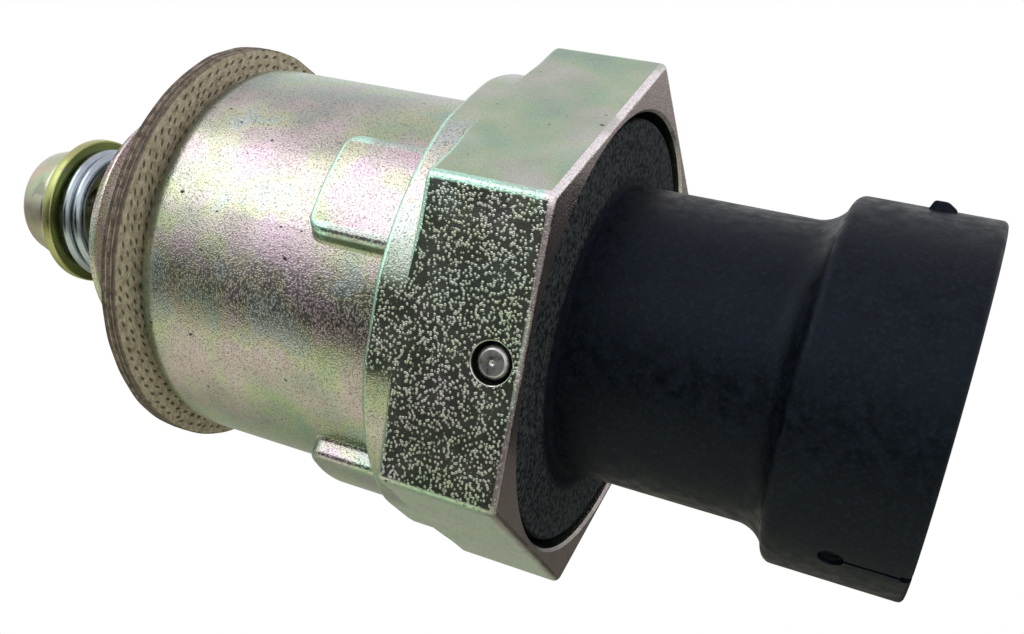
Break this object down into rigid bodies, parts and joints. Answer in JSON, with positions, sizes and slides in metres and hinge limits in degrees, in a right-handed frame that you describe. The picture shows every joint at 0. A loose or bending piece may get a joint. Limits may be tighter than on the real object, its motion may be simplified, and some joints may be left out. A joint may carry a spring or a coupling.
{
  "type": "idle air control valve",
  "caption": "Stepper-driven idle air control valve: threaded hexagon casting, spring-loaded pintle that slides out of the nose, gasket and a round connector hood.",
  "frame": {"origin": "on the valve's axis, at the sealing face of the gasket", "axes": "+Z along the axis from the pintle to the connector; -Y through the flat of the hexagon that holds the pin; +X by the right-hand rule"},
  "size_m": [0.0368, 0.032, 0.0727],
  "materials": {
    "zinc_casting": "fine cast surface, zinc plated with a yellow and green chromate film",
    "fibre": "pressed fibre gasket, matt",
    "pintle_zinc": "turned, yellow zinc plated",
    "steel": "bright ground steel",
    "spring_steel": "bright drawn spring wire",
    "bronze": "sintered bronze",
    "black_plastic": "moulded glass-filled plastic, satin",
    "light_plastic": "moulded plastic, natural",
    "ferrite": "sintered magnet",
    "copper_wire": "enamelled copper winding",
    "sheet_steel": "pressed sheet, zinc plated",
    "tin_plate": "plated terminal alloy",
    "seal_rubber": "moulded seal"
  },
  "bodies": {
    "housing": {"housing": "zinc_casting", "gasket": "fibre", "pintle_spring": "spring_steel", "spring_seat": "steel", "guide_bush": "bronze", "front_stator_cup": "sheet_steel", "front_pole_plate": "sheet_steel", "front_bobbin": "light_plastic", "front_coil": "copper_wire", "rear_stator_cup": "sheet_steel", "rear_pole_plate": "sheet_steel", "rear_bobbin": "light_plastic", "rear_coil": "copper_wire", "bearing_plate": "sheet_steel", "bearing_outer_race": "steel", "preload_washer": "spring_steel", "connector": "black_plastic", "terminal_1": "tin_plate", "terminal_2": "tin_plate", "terminal_3": "tin_plate", "terminal_4": "tin_plate", "seal_ring": "seal_rubber", "retaining_pin": "steel"},
    "pintle": {"pintle": "pintle_zinc", "pintle_shaft": "steel"},
    "rotor": {"rotor_nut": "light_plastic", "rotor_magnet": "ferrite", "bearing_inner_race": "steel"},
    "ball_train": {"bearing_balls": "steel", "bearing_cage": "light_plastic"}
  },
  "joints": [
    {"name": "rotor_spin", "type": "hinge", "parent": "housing", "child": "rotor", "pos_m": [0, 0, 0.014], "axis": [0, 0, 1], "range_deg": [-2520, 1080]},
    {"name": "pintle_slide", "type": "slide", "parent": "housing", "child": "pintle", "axis": [0, 0, -1], "range_m": [-0.007, 0.003], "deforming": ["pintle_spring"]},
    {"name": "ball_orbit", "type": "hinge", "parent": "housing", "child": "ball_train", "pos_m": [0, 0, 0.022], "axis": [0, 0, 1], "range_deg": [-1059, 454]}
  ],
  "couplings": [
    {"joint": "rotor_spin", "follows": "pintle_slide", "rad_per_m": 6283.2},
    {"joint": "ball_orbit", "follows": "pintle_slide", "rad_per_m": 2638.9}
  ]
}
